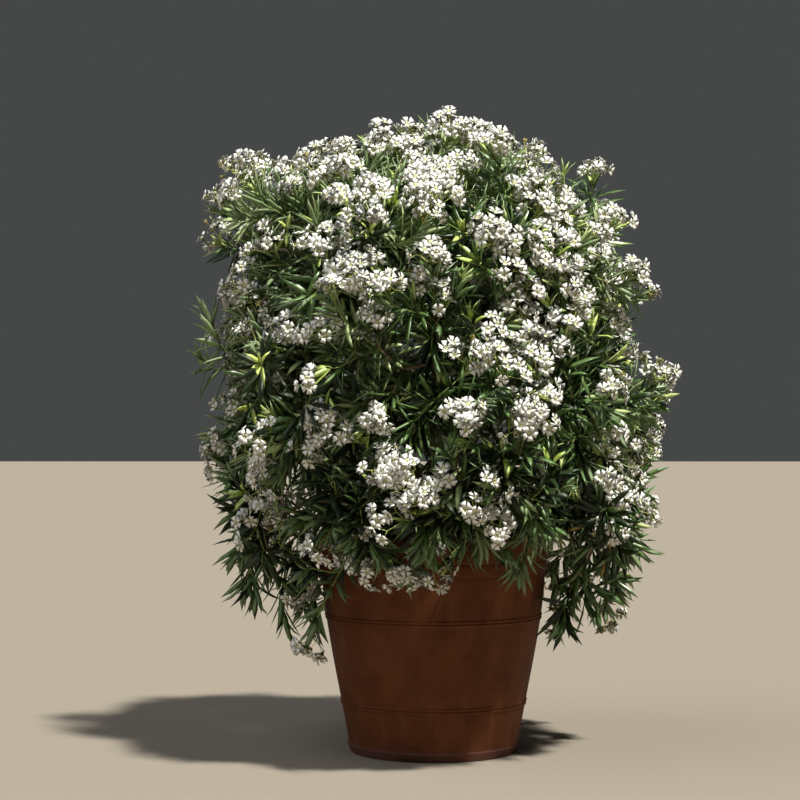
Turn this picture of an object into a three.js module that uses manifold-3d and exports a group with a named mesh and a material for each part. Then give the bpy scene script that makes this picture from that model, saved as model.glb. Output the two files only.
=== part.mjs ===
// A white oleander in a terracotta pot: pot, soil, a short trunk, a bough for each part of the crown,
// and the foliage at each bough's end, with its leaves and its white trusses of blossom.
// Millimetres, +Z up. The origin is the middle of the pot's flat underside, and the front faces -Y.
import * as THREE from "three";
import { mergeVertices } from "three/addons/utils/BufferGeometryUtils.js";
import Module from "manifold-3d";

const wasm = await Module();
wasm.setup();

// Between pieces that touch on the real plant
const seatGap = 0.3;
const up = new THREE.Vector3(0, 0, 1);
const goldenAngle = Math.PI * (3 - Math.sqrt(5));

const pot = {
  height: 800,
  footRadius: 311,
  footBand: { radius: 321, height: 33, shoulder: 3 },
  body: { foot: 316, neck: 418, top: 668, fullness: 0.66 },
  beads: { heights: [184, 500], proud: 4, pitch: 12 },
  rim: { lower: 427, upper: 433, step: 716, round: 8 },
  wall: { mouth: 398, foot: 285 },
  floor: 35,
  segments: 30,
};
const soil = { top: 745 };

const trunk = {
  foot: 100,
  waist: 66,
  head: 86,
  seat: 79,
  waistHeight: 45,
  flareHeight: 18,
  headHeight: 95,
  undercut: 0.6,
  flareLobes: 5,
  flare: 0.12,
  lean: 0.05,
};

// The crown's outline. A higher roundness is boxier, and the left shoulder is the fuller one.
// The crown's foot lifts to show the front of the pot. A bearing faces the front by 1 straight ahead and
// by 0 at the sides, and the lift begins at one such share and is whole a spread further on
const crown = {
  top: 2380,
  widest: 1250,
  bottom: 335,
  front: { bottom: 575, begins: 0.6, spread: 0.22 },
  radius: 905,
  roundness: { left: 3, right: 2.15, below: 4 },
};

// One row for each tier of boughs: where on the trunk's head they start, as an angle from straight up,
// where they end, how steeply, the heart of the foliage that each one carries, and how far up and down
// from there the hearts of one tier are staggered
const tiers = [
  { name: "top", count: 1, turn: 0, seat: 0, base: 15, tip: 10, stagger: 0,
    end: { radius: 25, height: 1640, rise: 88 }, heart: { radius: 30, height: 1990 } },
  { name: "shoulder", count: 5, turn: 18, seat: 33, base: 14, tip: 9, stagger: 70,
    end: { radius: 290, height: 1480, rise: 58 }, heart: { radius: 450, height: 1790 } },
  { name: "middle", count: 7, turn: 13, seat: 64, base: 13, tip: 9, stagger: 110,
    end: { radius: 370, height: 1150, rise: 32 }, heart: { radius: 580, height: 1310 } },
  { name: "skirt", count: 7, turn: 32, seat: 93, base: 12, tip: 8, stagger: 60,
    end: { radius: 425, height: 935, rise: 4 }, heart: { radius: 620, height: 830 } },
];

const limbs = { sides: 5, segments: 5, testPoints: 24 };
// stem, twig, shoot and bud are radii, and a knuckle is this many times as thick as its twig
const foliage = {
  shoots: 71,
  clearance: 4,
  depth: 66,
  raggedness: 80,
  branchShare: 0.45,
  stem: 9,
  twig: 8,
  shoot: 7,
  bud: 5,
  knuckle: 2.1,
  core: { share: 0.86, most: 255, crumple: 0.34, step: 10, room: 50 },
  stand: 60,
};
const leaf = { length: 265, width: 66, thickness: 6, widestAt: 0.45, droop: 16 };
// A leaf takes the first of these spreads, and then the first length, that has room for it
const whorl = { leaves: 3, places: [0.4, 0.8], spreads: [52, 76, 100, 30], lengths: [1, 0.8, 0.62] };
// One bloom stands for a whole truss
const bloom = { share: 0.85, across: 110, depth: 52, throat: 14, notch: 0.5, sunk: 8 };

const colours = {
  terracotta: 0xa8593a,
  earth: 0x4b3a2c,
  bark: 0x7d6a55,
  foliage: 0x4d6b36,
};

function material(colour, roughness) {
  return new THREE.MeshStandardMaterial({ color: colour, roughness, metalness: 0 });
}

// Seeded numbers from 0 to 1, the same on every run
function seeded(seed) {
  let state = seed >>> 0;
  return () => {
    state = (state + 0x6d2b79f5) >>> 0;
    let t = state;
    t = Math.imul(t ^ (t >>> 15), t | 1);
    t ^= t + Math.imul(t ^ (t >>> 7), t | 61);
    return ((t ^ (t >>> 14)) >>> 0) / 4294967296;
  };
}

function around(radius, angle, height) {
  return new THREE.Vector3(radius * Math.cos(angle), radius * Math.sin(angle), height);
}

// Shapes whose faces share their corners, solids made from them, joined into one body, and back

function welded(geometry) {
  geometry.deleteAttribute("normal");
  geometry.deleteAttribute("uv");
  return mergeVertices(geometry, 1e-3);
}

function solidOf(geometry) {
  return new wasm.Manifold(
    new wasm.Mesh({
      numProp: 3,
      vertProperties: geometry.attributes.position.array,
      triVerts: new Uint32Array(geometry.index.array),
    }),
  );
}

function geometryOf(solid) {
  const mesh = solid.getMesh();
  const geometry = new THREE.BufferGeometry();
  geometry.setAttribute("position", new THREE.BufferAttribute(new Float32Array(mesh.vertProperties), 3));
  geometry.setIndex(new THREE.BufferAttribute(new Uint32Array(mesh.triVerts), 1));
  geometry.computeVertexNormals();
  return geometry;
}

// Sealed hollows are filled and loose scraps dropped, because only the largest body is kept
function fuse(geometries) {
  const joined = wasm.Manifold.union(geometries.map(solidOf));
  const bodies = joined.decompose();
  bodies.sort((a, b) => b.volume() - a.volume());
  return geometryOf(bodies[0]);
}

// Moves a geometry that is built along +Y so that it stands at a point and runs along a direction,
// with its +Z turned to a side
function place(geometry, at, along, facing = steadySide(along)) {
  const across = new THREE.Vector3().crossVectors(along, facing).normalize();
  const face = new THREE.Vector3().crossVectors(across, along);
  geometry.applyMatrix4(new THREE.Matrix4().makeBasis(across, along, face).setPosition(at));
  return geometry;
}

function steadySide(along) {
  return Math.abs(along.z) > 0.9 ? new THREE.Vector3(1, 0, 0) : up;
}

// The pot and its soil

function bodyRadius(height) {
  const { foot, neck, top, fullness } = pot.body;
  const t = (height - pot.footBand.height) / (top - pot.footBand.height);
  return foot + (neck - foot) * (t + fullness * t * t * (1 - t));
}

function innerRadius(height) {
  const { mouth, foot } = pot.wall;
  return foot + ((mouth - foot) * (height - pot.floor)) / (pot.height - pot.floor);
}

function beadPair(height) {
  const { proud, pitch } = pot.beads;
  const crests = [-1, -0.5, 0, 0.5, 1];
  return crests.map((step) => {
    const z = height + step * pitch;
    return [bodyRadius(z) + (Math.abs(step) === 0.5 ? proud : 0), z];
  });
}

function potGeometry() {
  const { rim, footBand, body, beads } = pot;
  const middle = (beads.heights[0] + beads.heights[1]) / 2;
  const profile = [
    [0, 0],
    [pot.footRadius, 0],
    [footBand.radius, footBand.height - footBand.shoulder],
    [body.foot, footBand.height],
    ...beadPair(beads.heights[0]),
    [bodyRadius(middle), middle],
    ...beadPair(beads.heights[1]),
    [body.neck, body.top],
    [rim.lower, body.top + rim.round],
    [rim.lower, rim.step - rim.round / 2],
    [rim.upper, rim.step + rim.round / 2],
    [rim.upper, pot.height - rim.round],
    [rim.upper - rim.round, pot.height],
    [pot.wall.mouth, pot.height],
    [pot.wall.foot, pot.floor],
    [0, pot.floor],
  ].map(([r, z]) => new THREE.Vector2(r, z));
  return welded(new THREE.LatheGeometry(profile, pot.segments)).rotateX(Math.PI / 2);
}

function soilGeometry() {
  const low = pot.floor + seatGap;
  const profile = [
    [0, low],
    [innerRadius(low) - seatGap, low],
    [innerRadius(soil.top) - seatGap, soil.top],
    [0, soil.top],
  ].map(([r, z]) => new THREE.Vector2(r, z));
  return welded(new THREE.LatheGeometry(profile, pot.segments)).rotateX(Math.PI / 2);
}

// The trunk: a short, flared stump whose round head has a flat seat under each bough

function headCentre() {
  const height = soil.top + seatGap + trunk.headHeight;
  return new THREE.Vector3(trunk.lean * trunk.headHeight, 0, height);
}

function trunkBody() {
  const { foot, waist, head, waistHeight, flareHeight, headHeight, undercut } = trunk;
  const profile = [[0, 0], [foot, 0], [(foot + waist) / 2, flareHeight], [waist, waistHeight]];
  const rounds = 4;
  for (let i = rounds; i > 0; i--) {
    const t = (undercut * Math.PI * i) / rounds;
    profile.push([head * Math.sin(t), headHeight + head * Math.cos(t)]);
  }
  profile.push([0, headHeight + head]);
  const points = profile.map(([r, z]) => new THREE.Vector2(r, z));
  const geometry = welded(new THREE.LatheGeometry(points, 4 * trunk.flareLobes)).rotateX(Math.PI / 2);
  const at = geometry.attributes.position;
  for (let i = 0; i < at.count; i++) {
    const z = at.getZ(i);
    const angle = Math.atan2(at.getY(i), at.getX(i));
    const low = Math.max(0, 1 - z / waistHeight);
    const flare = 1 + trunk.flare * low * Math.cos(trunk.flareLobes * angle);
    at.setXYZ(i, at.getX(i) * flare + trunk.lean * z, at.getY(i) * flare, z + soil.top + seatGap);
  }
  return geometry;
}

// What is cut away above a bough's seat
function seatCut(bough) {
  const width = trunk.head;
  const geometry = welded(new THREE.BoxGeometry(width, width, width));
  return place(geometry, bough.from.clone().addScaledVector(bough.out, width / 2 - seatGap), bough.out);
}

function trunkGeometry(plans) {
  let body = solidOf(trunkBody());
  for (const bough of plans) body = body.subtract(solidOf(seatCut(bough)));
  return geometryOf(body);
}

// The boughs: one tapering limb each, from the trunk's head to the foliage that it carries

function boughPlans() {
  const plans = [];
  for (const tier of tiers) {
    for (let i = 0; i < tier.count; i++) {
      const angle = THREE.MathUtils.degToRad(tier.turn + (360 * i) / tier.count);
      const seat = THREE.MathUtils.degToRad(tier.seat);
      const rise = THREE.MathUtils.degToRad(tier.end.rise);
      const out = around(Math.sin(seat), angle, Math.cos(seat));
      const from = headCentre().addScaledVector(out, trunk.seat + seatGap);
      const lift = tier.stagger * Math.sin(goldenAngle * (i + 1));
      const to = around(tier.end.radius, angle, tier.end.height + lift / 2);
      const along = around(Math.cos(rise), angle, Math.sin(rise));
      const reach = from.distanceTo(to) / 3;
      const curve = new THREE.CubicBezierCurve3(
        from,
        from.clone().addScaledVector(out, reach),
        to.clone().addScaledVector(along, -reach),
        to,
      );
      plans.push({
        name: `${tier.name}_${i + 1}`,
        seed: plans.length + 1,
        base: tier.base,
        tip: tier.tip,
        from, to, out, along, curve,
        middles: curve.getSpacedPoints(limbs.testPoints),
        heart: around(tier.heart.radius, angle, tier.heart.height + lift),
      });
    }
  }
  return plans;
}

// A closed tapering cylinder, bent along the bough's curve
function boughGeometry(bough) {
  const { sides, segments } = limbs;
  const geometry = welded(new THREE.CylinderGeometry(bough.tip, bough.base, 1, sides, segments));
  const frames = bough.curve.computeFrenetFrames(segments, false);
  const at = geometry.attributes.position;
  for (let i = 0; i < at.count; i++) {
    const step = Math.round((at.getY(i) + 0.5) * segments);
    const point = bough.curve.getPointAt(step / segments);
    point.addScaledVector(frames.normals[step], at.getX(i));
    point.addScaledVector(frames.binormals[step], -at.getZ(i));
    at.setXYZ(i, point.x, point.y, point.z);
  }
  return geometry;
}

// The crown's outline and the space that each mass of foliage keeps to

function crownBottom(angle) {
  const { bottom, begins, spread } = crown.front;
  const lift = THREE.MathUtils.clamp((-Math.sin(angle) - begins) / spread, 0, 1);
  return crown.bottom + (bottom - crown.bottom) * lift;
}

function crownRadius(height, angle) {
  const { left, right, below } = crown.roundness;
  const above = height > crown.widest;
  const span = above ? crown.top - crown.widest : crown.widest - crownBottom(angle);
  const roundness = above ? left + ((right - left) * (1 + Math.cos(angle))) / 2 : below;
  const t = Math.min(1, Math.abs(height - crown.widest) / span);
  return crown.radius * (1 - t ** roundness) ** (1 / roundness);
}

function inCrown(point) {
  return Math.hypot(point.x, point.y) < crownRadius(point.z, Math.atan2(point.y, point.x));
}

function clearOfPot(point, room = 3 * foliage.clearance) {
  return point.z > pot.height + room || Math.hypot(point.x, point.y) > pot.rim.upper + room;
}

// Nearer to its own heart than to any other, by a little on each side
function inOwnSpace(point, plan, plans) {
  const own = point.distanceToSquared(plan.heart);
  return plans.every((other) => {
    if (other === plan) return true;
    const apart = plan.heart.distanceTo(other.heart);
    const past = (point.distanceToSquared(other.heart) - own) / (2 * apart);
    return past > foliage.clearance;
  });
}

function allowed(point, plan, plans) {
  return inOwnSpace(point, plan, plans) && inCrown(point) && clearOfPot(point);
}

function lineAllowed(from, to, plan, plans) {
  const steps = 8;
  for (let i = 0; i <= steps; i++) {
    if (!allowed(from.clone().lerp(to, i / steps), plan, plans)) return false;
  }
  return true;
}

function clearOfBoughs(from, to, halfWidth, plans) {
  const line = new THREE.Line3(from, to);
  const near = new THREE.Vector3();
  return plans.every((bough) => bough.middles.every((point) => {
    line.closestPointToPoint(point, true, near);
    return near.distanceTo(point) > bough.base + halfWidth + foliage.clearance;
  }));
}

function lineFits(from, to, halfWidth, plan, plans) {
  return lineAllowed(from, to, plan, plans) && clearOfBoughs(from, to, halfWidth, plans);
}

// Places for the shoots' tips, spread evenly under the crown's surface by the golden angle

function tipsOnCrown(count) {
  const rows = [];
  const steps = 400;
  let area = 0;
  let last = new THREE.Vector2(0, crown.top);
  for (let i = 1; i <= steps; i++) {
    const height = crown.top - ((crown.top - crown.bottom) * i) / steps;
    const here = new THREE.Vector2(crownRadius(height, Math.PI / 2), height);
    area += here.distanceTo(last) * (here.x + last.x);
    rows.push({ area, height });
    last = here;
  }
  const random = seeded(count);
  const tips = [];
  for (let i = 0; i < count; i++) {
    const wanted = (area * (i + 0.5)) / count;
    const angle = i * goldenAngle;
    const depth = foliage.depth + foliage.raggedness * random();
    let { height } = rows.find((row) => row.area >= wanted);
    if (height < crown.widest) {
      const span = crown.widest - crown.bottom;
      height = crown.widest - ((crown.widest - height) * (crown.widest - crownBottom(angle))) / span;
    }
    const onSurface = around(crownRadius(height, angle), angle, height);
    const inward = new THREE.Vector3(0, 0, crown.widest).sub(onSurface).normalize();
    tips.push(onSurface.addScaledVector(inward, depth));
  }
  return tips;
}

// Leaves and blossom

// A lance-shaped leaf of eight faces along +Y, from its root at the origin
function leafGeometry(scale) {
  const geometry = welded(new THREE.OctahedronGeometry(1));
  const at = geometry.attributes.position;
  for (let i = 0; i < at.count; i++) {
    const along = at.getY(i);
    const share = along > 0.5 ? 1 : along < -0.5 ? 0 : leaf.widestAt;
    const bow = Math.sin(Math.PI * share) * leaf.droop;
    at.setXYZ(
      i,
      (at.getX(i) * leaf.width) / 2,
      share * leaf.length * scale,
      (at.getZ(i) * leaf.thickness) / 2 + bow,
    );
  }
  return geometry;
}

// A five-lobed funnel along +Y, from its foot at the origin
function bloomGeometry() {
  const lobes = 5;
  const height = bloom.depth + bloom.sunk;
  const geometry = welded(new THREE.ConeGeometry(bloom.across / 2, height, 2 * lobes)).rotateX(Math.PI);
  const at = geometry.attributes.position;
  for (let i = 0; i < at.count; i++) {
    const radius = Math.hypot(at.getX(i), at.getZ(i));
    const angle = Math.atan2(at.getZ(i), at.getX(i));
    const high = at.getY(i) > 0;
    const pinch = high && Math.cos(lobes * angle) < 0 ? bloom.notch : 1;
    const throat = high && radius < 1 ? bloom.throat : 0;
    at.setXYZ(i, at.getX(i) * pinch, at.getY(i) + height / 2 - bloom.sunk - throat, at.getZ(i) * pinch);
  }
  return geometry;
}

// A three-sided twig
function twigGeometry(from, to, thick, thin) {
  const along = to.clone().sub(from).normalize();
  const geometry = welded(new THREE.CylinderGeometry(thin, thick, from.distanceTo(to), 3));
  return place(geometry, from.clone().lerp(to, 0.5), along);
}

// The swelling at a fork
function knuckleGeometry(at) {
  const geometry = welded(new THREE.OctahedronGeometry(foliage.knuckle * foliage.twig));
  return geometry.translate(at.x, at.y, at.z);
}

// A direction that leans away from another by a spread, on the side that an angle gives
function splay(direction, angle, spread) {
  const side = new THREE.Vector3().crossVectors(direction, steadySide(direction)).normalize();
  const lean = THREE.MathUtils.degToRad(spread);
  return direction.clone().multiplyScalar(Math.cos(lean))
    .addScaledVector(side.applyAxisAngle(direction, angle), Math.sin(lean));
}

function everyCorner(geometry, test) {
  const at = geometry.attributes.position;
  const corner = new THREE.Vector3();
  for (let i = 0; i < at.count; i++) {
    if (!test(corner.fromBufferAttribute(at, i))) return false;
  }
  return true;
}

function addLeaf(pieces, at, direction, angle, plan, plans) {
  for (const scale of whorl.lengths) {
    for (const spread of whorl.spreads) {
      const along = splay(direction, angle, spread);
      const tip = at.clone().addScaledVector(along, leaf.length * scale);
      const geometry = place(leafGeometry(scale), at, along, direction);
      const inSpace = everyCorner(geometry, (corner) => allowed(corner, plan, plans));
      if (inSpace && lineFits(at, tip, leaf.width / 2, plan, plans)) {
        pieces.push(geometry);
        return;
      }
    }
  }
}

function addBloom(pieces, tip, direction, plan, plans) {
  const geometry = place(bloomGeometry(), tip, direction);
  if (everyCorner(geometry, (corner) => allowed(corner, plan, plans))) pieces.push(geometry);
}

// The last stretch of a twig, with its whorls of leaves and, on most, its bloom
function addShoot(pieces, from, tip, random, plan, plans) {
  const direction = tip.clone().sub(from).normalize();
  pieces.push(twigGeometry(from, tip, foliage.shoot, foliage.bud));
  const turn = random() * 2 * Math.PI;
  whorl.places.forEach((share, i) => {
    const at = from.clone().lerp(tip, share);
    for (let j = 0; j < whorl.leaves; j++) {
      addLeaf(pieces, at, direction, turn + (Math.PI * (i + 2 * j)) / whorl.leaves, plan, plans);
    }
  });
  if (random() < bloom.share) addBloom(pieces, tip, direction, plan, plans);
}

// A twig runs part of the way to the middle of the tips that it feeds, then forks in two or three
function addBranch(pieces, from, tips, random, plan, plans) {
  if (tips.length === 0) return;
  const middle = new THREE.Vector3();
  tips.forEach((tip) => middle.addScaledVector(tip, 1 / tips.length));
  const to = tips.length === 1 ? tips[0] : from.clone().lerp(middle, foliage.branchShare);
  if (!lineFits(from, to, foliage.twig, plan, plans)) return;
  if (tips.length === 1) {
    addShoot(pieces, from, to, random, plan, plans);
    return;
  }
  pieces.push(twigGeometry(from, to, foliage.twig, foliage.shoot));
  pieces.push(knuckleGeometry(to));
  const axis = to.clone().sub(from).normalize();
  const zero = splay(axis, 0, 90);
  const quarter = splay(axis, Math.PI / 2, 90);
  const bearing = (tip) => {
    const out = tip.clone().sub(to);
    return Math.atan2(out.dot(quarter), out.dot(zero));
  };
  const sorted = [...tips].sort((a, b) => bearing(a) - bearing(b));
  const ways = Math.min(sorted.length, sorted.length === 4 ? 2 : 3);
  for (let i = 0; i < ways; i++) {
    const first = Math.round((sorted.length * i) / ways);
    const last = Math.round((sorted.length * (i + 1)) / ways);
    addBranch(pieces, to, sorted.slice(first, last), random, plan, plans);
  }
}

// The dense middle of a mass: a crumpled lump that keeps to part of the way to the edge of its space
function coreGeometry(middle, random, plan, plans) {
  const geometry = welded(new THREE.IcosahedronGeometry(1, 1));
  const at = geometry.attributes.position;
  const { share, most, crumple, step, room } = foliage.core;
  const free = (point) => allowed(point, plan, plans) && clearOfPot(point, room)
    && clearOfBoughs(point, point, room, plans);
  for (let i = 0; i < at.count; i++) {
    const out = new THREE.Vector3().fromBufferAttribute(at, i);
    let reach = 0;
    while (reach < most / share && free(middle.clone().addScaledVector(out, reach + step))) {
      reach += step;
    }
    const point = middle.clone().addScaledVector(out, reach * share * (1 - crumple * random()));
    at.setXYZ(i, point.x, point.y, point.z);
  }
  return geometry;
}

function foliageGeometry(plan, tips, plans) {
  const random = seeded(1000 * plan.seed);
  const start = plan.to.clone().addScaledVector(plan.along, seatGap);
  const knee = start.clone().addScaledVector(plan.along, foliage.stand);
  const stem = welded(new THREE.CylinderGeometry(foliage.stem, foliage.stem, foliage.stand, 3));
  const pieces = [
    place(stem, start.clone().lerp(knee, 0.5), plan.along),
    knuckleGeometry(knee),
    twigGeometry(knee, plan.heart, foliage.stem, foliage.twig),
    coreGeometry(plan.heart, random, plan, plans),
  ];
  addBranch(pieces, plan.heart, tips, random, plan, plans);
  return fuse(pieces);
}

// Everything, as a scene graph

function named(name, geometry, finish) {
  const mesh = new THREE.Mesh(geometry, finish);
  mesh.name = name;
  return mesh;
}

const plant = new THREE.Group();
const finishes = {
  terracotta: material(colours.terracotta, 0.8),
  earth: material(colours.earth, 1),
  bark: material(colours.bark, 0.9),
  foliage: material(colours.foliage, 0.6),
};

const plans = boughPlans();

plant.add(named("pot", potGeometry(), finishes.terracotta));
plant.add(named("soil", soilGeometry(), finishes.earth));
plant.add(named("trunk", trunkGeometry(plans), finishes.bark));
for (const bough of plans) {
  plant.add(named(`bough_${bough.name}`, boughGeometry(bough), finishes.bark));
}

const tips = tipsOnCrown(foliage.shoots);
const nearest = (tip) => plans.reduce((a, b) => (tip.distanceTo(b.heart) < tip.distanceTo(a.heart) ? b : a));
for (const plan of plans) {
  const own = tips.filter((tip) => nearest(tip) === plan);
  plant.add(named(`foliage_${plan.name}`, foliageGeometry(plan, own, plans), finishes.foliage));
}

export default plant;
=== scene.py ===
import math

import bpy
import numpy as np
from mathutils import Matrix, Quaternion, Vector, noise
from mathutils.geometry import interpolate_bezier


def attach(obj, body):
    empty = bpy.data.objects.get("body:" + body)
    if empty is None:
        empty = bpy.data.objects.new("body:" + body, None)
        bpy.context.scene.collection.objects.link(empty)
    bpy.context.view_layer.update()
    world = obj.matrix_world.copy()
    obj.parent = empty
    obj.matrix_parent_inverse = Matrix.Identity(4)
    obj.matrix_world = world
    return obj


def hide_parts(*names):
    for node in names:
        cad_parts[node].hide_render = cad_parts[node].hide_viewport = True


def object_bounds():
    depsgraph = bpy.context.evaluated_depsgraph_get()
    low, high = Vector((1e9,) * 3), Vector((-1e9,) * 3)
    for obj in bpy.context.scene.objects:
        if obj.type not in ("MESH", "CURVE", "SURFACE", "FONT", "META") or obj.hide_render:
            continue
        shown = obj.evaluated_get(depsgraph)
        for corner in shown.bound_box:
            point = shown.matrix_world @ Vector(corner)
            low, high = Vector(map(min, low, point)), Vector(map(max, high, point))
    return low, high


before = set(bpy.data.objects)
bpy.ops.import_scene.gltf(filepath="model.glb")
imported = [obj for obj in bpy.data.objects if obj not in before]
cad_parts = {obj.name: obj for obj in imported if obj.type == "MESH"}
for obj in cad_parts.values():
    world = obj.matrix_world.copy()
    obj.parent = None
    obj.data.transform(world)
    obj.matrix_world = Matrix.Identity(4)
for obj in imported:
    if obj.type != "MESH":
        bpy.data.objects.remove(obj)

cadBox = [list(corner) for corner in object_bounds()]
goldenAngle = math.pi * (3 - math.sqrt(5))
up = Vector((0, 0, 1))
seatGap = 0.0003  # metres, as all sizes: the solids stand this far clear of each other


def clamp(value, least=0, most=1):
    return min(most, max(least, value))


def seeded(seed):
    # The same run of draws as the solids' rule takes
    whole = 2 ** 32
    state = seed % whole

    def draw():
        nonlocal state
        state = (state + 0x6D2B79F5) % whole
        mixed = ((state ^ (state >> 15)) * (state | 1)) % whole
        mixed ^= (mixed + (mixed ^ (mixed >> 7)) * (mixed | 61)) % whole
        return (mixed ^ (mixed >> 14)) / whole

    return draw


def around(radius, angle, height):
    return Vector((radius * math.cos(angle), radius * math.sin(angle), height))


def unit(rows):
    # Directions at a length of 1
    return rows / np.linalg.norm(rows, axis=-1, keepdims=True)


def linear(hexColour):
    # sRGB hex to the linear values that a shader takes
    parts = [int(hexColour[i:i + 2], 16) / 255 for i in (1, 3, 5)]
    return tuple(c / 12.92 if c <= 0.04045 else ((c + 0.055) / 1.055) ** 2.4 for c in parts) + (1.0,)


def linkInputs(tree, node, links):
    # A source is a socket, or a node for its first output
    for name, source in links.items():
        socket = source.outputs[0] if isinstance(source, bpy.types.Node) else source
        tree.links.new(socket, node.inputs[name])


def addNode(tree, kind, links={}, values={}, stops=(), **settings):
    made = tree.nodes.new("ShaderNode" + kind)
    for name, value in settings.items():
        setattr(made, name, value)
    for name, value in values.items():
        made.inputs[name].default_value = value
    for i, (place, colour) in enumerate(stops):
        made.color_ramp.elements[i].position = place
        made.color_ramp.elements[i].color = linear(colour)
    linkInputs(tree, made, links)
    return made


def newMaterial(name, roughness=0.5, specular=0.5):
    material = bpy.data.materials.new(name)
    material.use_nodes = True
    shader = material.node_tree.nodes["Principled BSDF"]
    shader.inputs["Roughness"].default_value = roughness
    shader.inputs["Specular IOR Level"].default_value = specular
    return material, material.node_tree, shader


def plainFinish(name, colour, roughness, specular=0.5):
    # One of the tones of leaves, stems and blossom
    material, _, shader = newMaterial(name, roughness, specular)
    shader.inputs["Base Color"].default_value = linear(colour)
    return material


def firedTerracotta():
    # Earthenware, thrown and fired without a glaze: matt, streaked by water and lime
    material, tree, shader = newMaterial("firedTerracotta", specular=0.25)
    place = addNode(tree, "TexCoord").outputs["Object"]
    # clouds of paler and darker clay, about 120 mm across
    clouds = addNode(tree, "TexNoise", {"Vector": place}, {"Scale": 8, "Detail": 6, "Roughness": 0.7})
    tone = addNode(tree, "ValToRGB", {"Fac": clouds}, stops=((0.35, "#562b11"), (0.68, "#6a3917")))
    # runs of water down the wall, some 60 mm wide and 400 mm long, dark ones and pale ones
    tall = addNode(tree, "Mapping", {"Vector": place}, {"Scale": (17, 17, 2.4)})
    runs = addNode(tree, "TexNoise", {"Vector": tall}, {"Scale": 1, "Detail": 3})
    dark = addNode(tree, "MapRange", {"Value": runs}, {"From Min": 0.5, "From Max": 0.75, "To Max": 0.15})
    pale = addNode(tree, "MapRange", {"Value": runs}, {"From Min": 0.46, "From Max": 0.26, "To Max": 0.1})
    # damp and lime have turned the foot band a dull mauve grey, in patches about 70 mm across
    height = addNode(tree, "SeparateXYZ", {"Vector": place}).outputs["Z"]
    low = addNode(tree, "MapRange", {"Value": height}, {"From Min": 0.046, "From Max": 0.03, "To Max": 1.1})
    patches = addNode(tree, "TexNoise", {"Vector": place}, {"Scale": 14, "Detail": 6, "Roughness": 0.7})
    damp = addNode(tree, "Math", {0: low, 1: patches}, operation="MULTIPLY")
    # specks of grog, real ones near 1 mm, drawn 3 mm so that they show
    grog = addNode(tree, "TexVoronoi", {"Vector": place}, {"Scale": 330})
    specks = addNode(tree, "MapRange", {"Value": grog}, {"From Min": 0.2, "From Max": 0.05, "To Max": 0.25})
    for share, colour in ((dark, "#3f1f0d"), (pale, "#9c7258"), (damp, "#64453f"), (specks, "#5f3220")):
        mix = addNode(tree, "Mix", {0: share, 6: tone}, {7: linear(colour)}, data_type="RGBA")
        tone = mix.outputs[2]
    rough = addNode(tree, "MapRange", {"Value": patches}, {"To Min": 0.62, "To Max": 0.86})
    # turning lines round the wall, about 3 mm apart, and the clay's own grit, drawn 4 mm
    rings = addNode(tree, "Mapping", {"Vector": place}, {"Scale": (3, 3, 300)})
    turning = addNode(tree, "TexNoise", {"Vector": rings}, {"Scale": 1, "Detail": 2})
    grit = addNode(tree, "TexNoise", {"Vector": place}, {"Scale": 260, "Detail": 3})
    relief = addNode(tree, "Math", {0: grit, 2: turning}, {1: 0.6}, operation="MULTIPLY_ADD")
    bump = addNode(tree, "Bump", {"Height": relief}, {"Strength": 0.35, "Distance": 0.0012})
    linkInputs(tree, shader, {"Base Color": tone, "Roughness": rough, "Normal": bump})
    return material


def pottingCompost():
    # Peat and composted bark, dry on top: dull, nearly black, with brown crumbs of 6 to 12 mm
    material, tree, shader = newMaterial("pottingCompost", 0.95)
    place = addNode(tree, "TexCoord").outputs["Object"]
    crumbs = addNode(tree, "TexVoronoi", {"Vector": place}, {"Scale": 85})
    fine = addNode(tree, "TexNoise", {"Vector": place}, {"Scale": 160, "Detail": 6, "Roughness": 0.7})
    mixed = addNode(tree, "Math", {0: crumbs, 1: fine}, operation="MULTIPLY")
    tone = addNode(tree, "ValToRGB", {"Fac": mixed}, stops=((0.08, "#1f1712"), (0.5, "#6a5440")))
    bump = addNode(tree, "Bump", {"Height": mixed}, {"Strength": 0.8, "Distance": 0.004})
    linkInputs(tree, shader, {"Base Color": tone, "Normal": bump})
    return material


def oleanderBark():
    # Thin grey-brown bark, smooth when young, in patches of some 45 mm, with shallow cracks low down
    material, tree, shader = newMaterial("oleanderBark", 0.84)
    place = addNode(tree, "TexCoord").outputs["Object"]
    patches = addNode(tree, "TexNoise", {"Vector": place}, {"Scale": 22, "Detail": 5, "Roughness": 0.65})
    tone = addNode(tree, "ValToRGB", {"Fac": patches}, stops=((0.3, "#5b4a3a"), (0.72, "#93836c")))
    # pale pores about 2 mm across, some 10 mm apart
    pores = addNode(tree, "TexVoronoi", {"Vector": place}, {"Scale": 100})
    share = addNode(tree, "MapRange", {"Value": pores}, {"From Min": 0.24, "From Max": 0.12, "To Max": 0.5})
    dotted = addNode(tree, "Mix", {0: share, 6: tone}, {7: linear("#b3a58c")}, data_type="RGBA")
    # cracks some 6 mm apart and 30 mm long
    stretched = addNode(tree, "Mapping", {"Vector": place}, {"Scale": (160, 160, 30)})
    cracks = addNode(tree, "TexNoise", {"Vector": stretched}, {"Scale": 1, "Detail": 4})
    bump = addNode(tree, "Bump", {"Height": cracks}, {"Strength": 0.6, "Distance": 0.002})
    linkInputs(tree, shader, {"Base Color": dotted.outputs[2], "Normal": bump})
    return material


def finishPiece(piece, nodes, materials):
    for material in materials:
        piece.data.materials.append(material)
    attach(piece, "root")
    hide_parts(*nodes)
    return piece


def newObject(name, data):
    made = bpy.data.objects.new(name, data)
    bpy.context.scene.collection.objects.link(made)
    return made


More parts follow.
